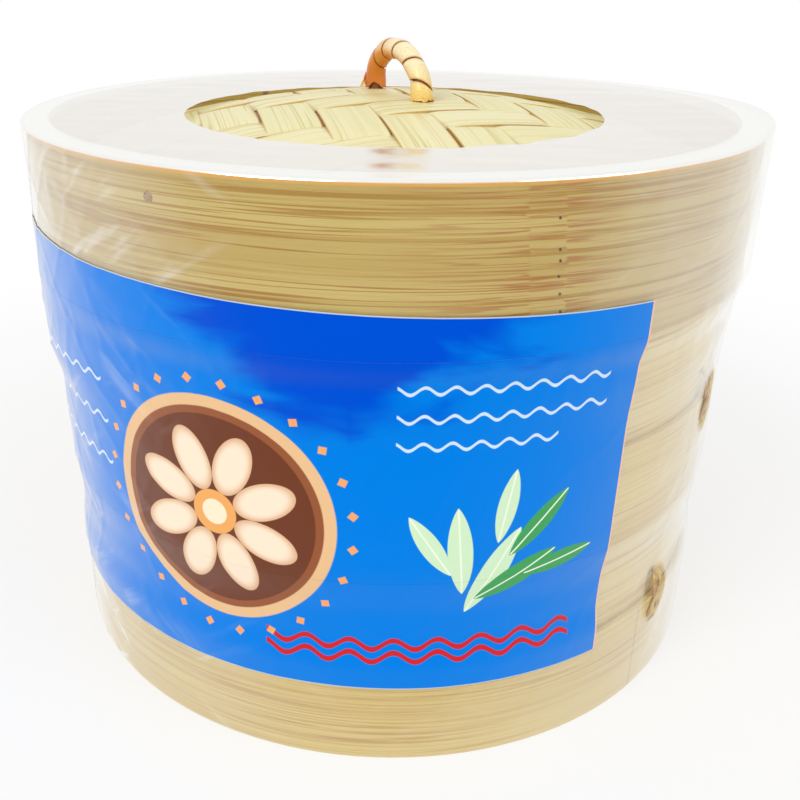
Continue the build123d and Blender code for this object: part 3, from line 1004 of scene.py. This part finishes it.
# the sheet's cut edges, and its bare back
left, lower = t.minus(along, sheet_left), t.minus(high, sheet_low)
right = t.minus(t.plus(t.times(high, 0.0113), sheet_right), along)
upper = t.minus(t.minus(sheet_high, t.times(degrees, 0.05)), high)
inset = t.least(t.least(left, right), t.least(lower, upper))
art = t.mix(t.ramp(inset, 0.30, 0.2), art, linear(190, 200, 214))
art = t.mix(t.ramp(right, 0.55, 0.4), art, linear(244, 196, 166))
normal = t.add("ShaderNodeNewGeometry").outputs["Normal"]
out = t.add("ShaderNodeVectorMath", {0: t.place(), 1: normal}, operation="DOT_PRODUCT")
art = t.mix(t.math("LESS_THAN", out.outputs["Value"], 0.0), art, linear(232, 234, 236))

# painted reflection: the glossy sheet is painted pale where one looks along it and towards the
# left, with painted highlights on its creases at the left
streaks = t.group(streak_group, Vector=vector)[0]
veil = t.times(t.power(t.facing(), 3.0), 0.68)
veil = t.plus(veil, t.times(t.times(streaks, t.ramp(degrees, -12.0, -60.0)), 0.24))
veil = t.plus(veil, t.times(t.ramp(degrees, -40.0, -66.0), 0.16))
paint(t, surface, t.mix(t.least(veil, 0.95), art, linear(246, 244, 240)))
for piece, body, replaced in (
    (label_on_lid, "lid", "label_lid"),
    (label_on_upper, "upper_tier", "label_upper"),
    (label_on_lower, "lower_tier", "label_lower"),
):
    dress(piece, body, "label", label_print, replaced)
print("label dressed")

# %% [markdown]
# The handle is a bent cane with one flat strip wound round it. Its centre line is the same
# chain of straight runs and arcs as in the frame, here walked in small steps. The strip is a
# sheet that is carried round that line like thread on a screw, with a crown across its width
# and a slightly different tightness in each turn, then given its thickness.

# %% Handle's centre line
handle_middle = Vector((1.4, 2.3)) * MM
handle_turn = math.radians(-64.3)
half_span = 15.5 * MM
handle_rise = 11.8 * MM
cane_radius = 2.2 * MM
foot_z = crest_z - sphere_radius + math.sqrt(sphere_radius ** 2 - half_span ** 2)
arch = [
    (-half_span, -0.3 * MM), (-half_span, 0.64 * handle_rise),
    (-0.38 * half_span, 1.05 * handle_rise), (0.28 * half_span, 1.03 * handle_rise),
    (half_span, 0.50 * handle_rise), (half_span, -0.3 * MM),
]
bends = [8.0 * MM, 13.0 * MM, 13.0 * MM, 10.0 * MM]


def rounded(corners, radii, step):
    """A chain of points along straight runs and the arcs between them."""
    corners = [Vector(point) for point in corners]
    points = [corners[0]]
    for before, here, after, radius in zip(corners, corners[1:], corners[2:], radii):
        into, out = (here - before).normalized(), (after - here).normalized()
        turn = into.angle_signed(out)
        back = radius * math.tan(abs(turn) / 2)
        first = here - into * back
        steps = max(2, int(abs(turn) * radius / step))
        side = Vector((into.y, -into.x)) * math.copysign(1, turn)
        centre = first + side * radius
        arm = first - centre
        for i in range(steps + 1):
            swing = -turn * i / steps
            points.append(centre + Vector((
                arm.x * math.cos(swing) - arm.y * math.sin(swing),
                arm.x * math.sin(swing) + arm.y * math.cos(swing),
            )))
    return points + [corners[-1]]


def walker(points):
    """Position and direction at a distance along a chain of points."""
    marks = [0.0]
    for before, after in zip(points, points[1:]):
        marks.append(marks[-1] + (after - before).length)

    def at(distance):
        distance = min(max(distance, 0.0), marks[-1])
        index = max(i for i in range(len(marks) - 1) if marks[i] <= distance)
        run = points[index + 1] - points[index]
        share = (distance - marks[index]) / max(run.length, 1e-9)
        return points[index] + run * share, run.normalized()

    return at, marks[-1]


arch_at, arch_length = walker(rounded(arch, bends, 0.4 * MM))
print("arch length", round(arch_length / MM, 1), "mm")


def on_handle(along_span, aside, height):
    """A point given along the feet's line, across it and above the weave."""
    x = handle_middle.x + along_span * math.cos(handle_turn) - aside * math.sin(handle_turn)
    y = handle_middle.y + along_span * math.sin(handle_turn) + aside * math.cos(handle_turn)
    return Vector((x, y, foot_z + height))


# %% Wound strip
strip_gap = 0.65 * MM
sheet_thick = 0.38 * MM
slack = 0.2 * MM              # room between the cane and the strip
first_turn, turn_count = -1, 7
# gaps between turns, as (turns wound, share of the arch's length)
gap_places = [
    (-1.3, -0.30), (-0.3, -0.02), (0.7, 0.255), (1.8, 0.40), (2.88, 0.565),
    (3.9, 0.75), (4.92, 0.895), (5.92, 1.12), (6.92, 1.33),
]


def gap_at(turns):
    """Distance along the arch of the gap that runs beside the strip."""
    for (low, low_share), (high, high_share) in zip(gap_places, gap_places[1:]):
        if turns <= high or high == gap_places[-1][0]:
            share = (turns - low) / (high - low)
            return arch_length * (low_share + (high_share - low_share) * share)


def ragged_start(turn):
    """Where the strip's lowest turn ends at the rear foot: open towards the front, else low."""
    open_side = bump((math.degrees(turn) + 150.0 + 180.0) % 360.0 - 180.0, 0.0, 34.0)
    wander = 0.4 * noise.noise(Vector((math.cos(turn) * 2, math.sin(turn) * 2, 5.0)))
    return (0.5 + wander + 1.7 * open_side) * MM


def ragged_end(turn):
    tooth = noise.noise(Vector((math.cos(turn) * 9, math.sin(turn) * 9, 8.0)))
    return arch_length - (0.45 + 0.5 * tooth) * MM


def wind(u, v):
    turns = first_turn + v * turn_count
    turn = 2 * math.pi * turns
    near = min(max(gap_at(turns) + strip_gap / 2, ragged_start(turn)), ragged_end(turn) - 0.2 * MM)
    far = max(min(gap_at(turns + 1) - strip_gap / 2, ragged_end(turn)), near + 0.2 * MM)
    distance = near + (far - near) * u
    point, run = arch_at(distance)
    crown = 0.16 * MM * (1 - (2 * u - 1) ** 2)
    foot = min(distance, arch_length - distance)
    flare = 0.36 * ease((6 * MM - foot) / (6 * MM))
    flare = (flare + 0.12 * ease((1.8 * MM - foot) / (1.8 * MM))) * MM
    loose = 0.10 * MM * noise.noise(Vector((turns * 1.7, 4.0, 1.0)))
    radius = cane_radius + slack + sheet_thick / 2 + crown + flare + loose
    outward = Vector((-run.y, run.x))
    spot = point + outward * (radius * math.cos(turn))
    return on_handle(spot.x, radius * math.sin(turn), spot.y)


wound_strip = add_grid("wound_strip", 8, turn_count * 40)
bend(wound_strip, wind)
use_modifier(wound_strip, "SOLIDIFY", thickness=sheet_thick, offset=0.0)
merge_and_face_out(wound_strip)
use_modifier(wound_strip, "BEVEL", width=0.12 * MM, segments=2, limit_method="ANGLE")
smooth(wound_strip, 50.0)
print("strip wound, faces", len(wound_strip.data.polygons))

# %% [markdown]
# Where the strip ends it is not trimmed clean: at the front foot many short fibres splay out
# over the weave, and at the rear foot three loose ones lean away from the leg. All are
# tapering tubes, bent outwards from the foot.


# %% Loose fibres
def fibre(name, foot_side, azimuth, start, reach, lean, thick, stand=0.55 * MM):
    """A tapering tube from a foot of the handle down and outwards to the weave."""
    piece = add_grid(name, 8, 10)
    out = Vector((math.cos(math.radians(azimuth)), math.sin(math.radians(azimuth))))

    def place(u, v):
        turn = 2 * math.pi * u
        radius = thick * (1 - 0.75 * v ** 2)
        away = cane_radius + stand + lean * v ** 1.2
        height = start * (1 - v) - reach * v
        spot = Vector((foot_side * half_span + out.x * away, out.y * away, height))
        side = Vector((-out.y, out.x, 0.0))
        spot += side * (radius * math.cos(turn))
        spot += Vector((out.x, out.y, 0.4)) * (radius * math.sin(turn))
        return on_handle(spot.x, spot.y, spot.z)

    bend(piece, place)
    return piece


dice = random.Random(21)
fibres = [
    fibre("loose_fibre", -1, 246, 4.4 * MM, -0.2 * MM, 2.1 * MM, 0.36 * MM, 0.60 * MM),
    fibre("short_fibre", -1, 264, 2.6 * MM, -0.2 * MM, 1.5 * MM, 0.32 * MM, 0.75 * MM),
    fibre("rear_fibre", -1, 230, 3.4 * MM, -0.2 * MM, 1.7 * MM, 0.30 * MM, 0.65 * MM),
]
for number in range(22):
    azimuth = number * 16.4 + dice.uniform(-6, 6)
    fibres.append(fibre(
        f"splay_{number}", 1, azimuth, dice.uniform(1.4, 2.6) * MM, -0.3 * MM,
        dice.uniform(0.15, 0.7) * MM, dice.uniform(0.14, 0.26) * MM,
    ))
handle_fibres = join("handle_fibres", fibres)
merge_and_face_out(handle_fibres)
smooth(handle_fibres, 60.0)
wound_handle = join("handle_winding", [handle_fibres, wound_strip])
print("fibres", len(fibres))

# %% [markdown]
# The strip is peeled cane: cream where the light reaches, with painted shade in orange to
# reddish brown on the rear leg, on its undersides and on the arch's inner side, darkest low on
# the rear leg. It is yellower towards the feet. Its edges, read from the UV map's U, are darker
# with painted shade beside the gaps between turns, and the loose fibres beside the legs are pale.

# %% Cane materials
cane_strip, t, surface = new_material("wound_cane", 0.38, Coat_Weight=0.25, Coat_Roughness=0.25)
place = t.place()
x, y, z = t.split(place)
cosine, sine = math.cos(handle_turn), math.sin(handle_turn)
dx, dy = t.minus(x, handle_middle.x), t.minus(y, handle_middle.y)
along = t.plus(t.times(dx, cosine), t.times(dy, sine))
aside = t.minus(t.times(dy, cosine), t.times(dx, sine))
normal = t.split(t.add("ShaderNodeNewGeometry").outputs["Normal"])
# painted shade: orange on the rear leg, on downward faces and on the arch's inner side
rear = t.ramp(along, 4 * MM, -14 * MM)
under = t.ramp(normal[2], 0.35, -0.6)
outward = t.plus(t.times(normal[0], cosine), t.times(normal[1], sine))
inner = t.ramp(t.times(outward, t.share(along, half_span)), 0.0, -0.75)
orange_share = t.plus(t.plus(t.times(rear, 0.75), t.times(under, 0.75)), t.times(inner, 0.8))
orange_share = t.plus(orange_share, t.times(t.minus(t.noise(place, 170.0), 0.5), 0.5), clamp=True)
near_foot = t.ramp(z, foot_z + 11 * MM, foot_z + 2 * MM)
pale = t.mix(near_foot, linear(250, 234, 188), linear(240, 208, 116))
color = t.mix(orange_share, pale, linear(222, 138, 30))
# painted shade: darker reddish brown low on the rear leg
deep = t.times(t.ramp(along, -6 * MM, -17 * MM), t.ramp(z, foot_z + 12 * MM, foot_z + 2 * MM))
color = t.mix(t.times(deep, 0.7), color, linear(192, 84, 14))
fibre_lines = t.noise(t.stretch(place, 900.0, 900.0, 2600.0), detail=3.0, roughness=0.6)
color = t.mix(t.times(t.ramp(fibre_lines, 0.55, 0.75), 0.4), color, linear(190, 140, 66))
across = t.split(t.add("ShaderNodeTexCoord").outputs["UV"])[0]
# painted shade: the strip's edges darken beside the gaps between turns
edge = t.ramp(t.size(t.minus(across, 0.5)), 0.38, 0.5)
color = t.mix(t.times(edge, 0.55), color, linear(186, 112, 34))
from_leg = t.length(t.join(t.minus(t.size(along), half_span), aside, 0.0))
loose = t.ramp(from_leg, 3.4 * MM, 3.8 * MM)
low = t.ramp(z, foot_z + 4.6 * MM, foot_z + 3.4 * MM)
color = t.mix(t.times(loose, low), color, linear(240, 208, 118))
paint(t, surface, color)
t.relief(surface, fibre_lines, 0.3, 0.0003)
dress(wound_handle, "lid", "cane", cane_strip, "handle_strip")

# painted shade: the cane inside the strip is dark brown, for the shaded hollow at the rear foot's
# open end
cane_core, t, surface = new_material("cane_core", 0.6)
hollow_shade_mottle = t.noise(t.place(), 700.0, detail=3.0)
paint(t, surface, t.mix(hollow_shade_mottle, linear(150, 92, 40), linear(96, 48, 18)))
t.relief(surface, hollow_shade_mottle, 0.5, 0.0003)
use_material(nodes["handle_cane"], cane_core)
print("handle dressed")

# %% [markdown]
# Each band is bound to its wall by a cane tie. Seen from outside it is a strand that comes
# out of a hole above the band's edge, crosses itself like a figure eight and goes back in
# below. A closed curve gives the two loops, and a flat oval section is swept along it.

# %% Cane ties
# each tier's azimuth, then half width and height of the lower and the upper loop, and the
# height where the strand crosses itself
tie_shapes = {
    "lower": (50.5, ((2.6 * MM, 7.0 * MM), (1.7 * MM, 8.4 * MM), 27.4 * MM)),
    "upper": (60.0, ((2.0 * MM, 7.6 * MM), (2.2 * MM, 7.6 * MM), 27.6 * MM)),
}


def cane_tie(name, azimuth, base, lobes):
    """A figure eight of flat cane that lies on the band at an azimuth."""
    (low_half, low_tall), (high_half, high_tall), cross = lobes
    piece = add_grid(name, 10, 96)

    def spine(v):
        turn = 2 * math.pi * v
        wide, tall = (high_half, high_tall) if math.cos(turn) > 0 else (low_half, low_tall)
        aside = wide * math.sin(2 * turn)
        height = cross + tall * math.cos(turn) * abs(math.cos(turn)) ** 0.15
        end = abs(math.cos(turn)) ** 8
        over = 0.32 * MM * math.cos(turn / 2) * bump(height, cross, 2.0 * MM)
        radius = band_radius + 0.35 * MM + over - 1.9 * MM * end
        return aside, height, radius

    def place(u, v):
        aside, height, radius = spine(v)
        next_aside, next_height, _ = spine(v + 0.002)
        run = Vector((next_aside - aside, next_height - height)).normalized()
        turn = 2 * math.pi * u
        flat = 0.85 * MM * math.cos(turn)
        thick = 0.38 * MM * math.sin(turn)
        spot = Vector((aside + run.y * flat, height - run.x * flat))
        degrees = azimuth + math.degrees(spot.x / band_radius)
        return polar(degrees, radius + thick, base + spot.y)

    bend(piece, place)
    merge_and_face_out(piece)
    smooth(piece, 60.0)
    return piece


ties = {}
for tier, (azimuth, lobes) in tie_shapes.items():
    base = node_foot(f"{tier}_band")
    near_tie = cane_tie(f"{tier}_tie_0", azimuth, base, lobes)
    far_tie = cane_tie(f"{tier}_tie_1", azimuth + 180, base, lobes)
    ties[tier] = join(f"{tier}_figure_eight_ties", [near_tie, far_tie])
print("ties", len(ties), "pairs")

# %% Tie material
tie_cane, t, surface = new_material("tie_cane", 0.45)
cloud = t.noise(t.place(), 380.0)
vector = t.group(around_group, Vector=t.place())["Vector"]
lines = t.noise(t.stretch(vector, 1500.0, 260.0, 900.0))
color = t.mix(t.ramp(cloud, 0.35, 0.65), linear(206, 176, 104), linear(170, 122, 62))
color = t.mix(t.times(t.ramp(lines, 0.56, 0.72), 0.6), color, linear(124, 78, 38))
paint(t, surface, color)
t.relief(surface, lines, 0.4, 0.0003)
for tier, pair in ties.items():
    dress(pair, f"{tier}_tier", "cane", tie_cane, f"{tier}_cane_ties")
print("ties dressed")

# %% [markdown]
# The floor, the light and the white surroundings are a plain studio. The lamps stay at a
# level where a colour renders as it is written, and the white around the object comes from
# what the camera and the reflections see, not from more light on it.

# %% Floor
def seen_directly(tree):
    """1 where the camera sees a surface itself, in a reflection or through clear film."""
    sees = tree.add("ShaderNodeLightPath").outputs
    not_first = tree.most(sees["Is Glossy Ray"], sees["Is Transmission Ray"])
    return tree.most(sees["Is Camera Ray"], not_first)


bpy.ops.object.select_all(action="DESELECT")
bpy.ops.mesh.primitive_plane_add(size=6.0, location=(0.0, 0.0, 0.0))
floor = name_new("floor")
floor_paint, t, surface = new_material("pale_floor", 0.8, Base_Color=(0.9, 0.9, 0.9, 1.0))
glow = t.add("ShaderNodeEmission", {"Color": (1, 1, 1, 1), "Strength": 1.0})
whiter = t.plus(t.times(t.ramp(t.length(t.place()), 0.12, 0.42), 0.3), 0.7)
share = t.times(seen_directly(t), whiter)
blend = t.add("ShaderNodeMixShader", {0: share, 1: surface.outputs[0], 2: glow.outputs[0]})
t.put(floor_paint.node_tree.nodes["Material Output"].inputs["Surface"], blend.outputs[0])
floor.data.materials.append(floor_paint)
print("floor staged")

# %% World and lamps
ambient = 0.62
world = bpy.data.worlds.new("studio")
bpy.context.scene.world = world
world.use_nodes = True
t = Tree(world.node_tree)
background = world.node_tree.nodes["Background"]
background.inputs["Color"].default_value = (1, 1, 1, 1)
t.put(background.inputs["Strength"], t.plus(t.times(seen_directly(t), 1.0 - ambient), ambient))


def area_lamp(name, place, size, power):
    """A round lamp that shines at the steamer's middle."""
    lamp = bpy.data.lights.new(name, "AREA")
    lamp.shape = "DISK"
    lamp.size = size
    lamp.energy = power
    holder = bpy.data.objects.new(name, lamp)
    bpy.context.scene.collection.objects.link(holder)
    holder.location = place
    aim = Vector((0.0, 0.0, 0.08)) - Vector(place)
    holder.rotation_euler = aim.to_track_quat("-Z", "Y").to_euler()
    return holder


key = area_lamp("key_lamp", (-0.7, -0.9, 1.0), 0.7, 9.0)
fill = area_lamp("fill_lamp", (1.0, -0.6, 0.7), 0.8, 4.0)
print("lamps", key.name, fill.name)
